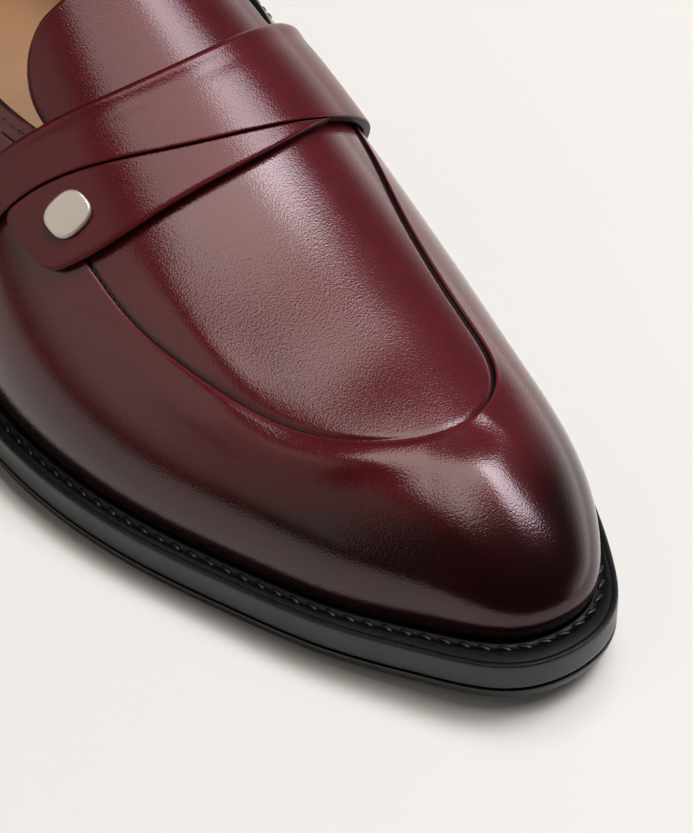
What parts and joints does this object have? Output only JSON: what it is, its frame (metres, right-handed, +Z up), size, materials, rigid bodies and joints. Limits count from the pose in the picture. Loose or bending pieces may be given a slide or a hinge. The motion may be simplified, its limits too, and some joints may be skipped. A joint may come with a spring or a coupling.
{
  "type": "loafer",
  "caption": "Right-foot loafer with a plain saddle strap, a pointed tab with a blank badge, a raised apron seam, a wide welt and a low stacked heel.",
  "frame": {"origin": "on the ground, under the middle of the sole's length and width", "axes": "+Z up, -Y toward the toe, +X toward the medial side (the wearer's left, because this is a right shoe)"},
  "size_m": [0.1012, 0.3, 0.0886],
  "materials": {
    "upper": "polished burgundy calf, darker toward the toe and the welt",
    "tongue": "polished burgundy calf",
    "strap": "polished burgundy calf with black painted edges",
    "badge": "blank brushed plate with a rounded rim",
    "welt": "black, stitched",
    "sole_edge": "black satin edge dressing",
    "outsole": "black satin",
    "top_lift": "black matt",
    "insole": "natural tan"
  },
  "bodies": {
    "root": {"upper": "upper", "tongue": "tongue", "strap_band": "strap", "strap_tab": "strap", "badge": "badge", "welt": "welt", "midsole": "sole_edge", "heel_stack": "sole_edge", "outsole": "outsole", "top_lift": "top_lift", "insole": "insole"}
  },
  "joints": []
}
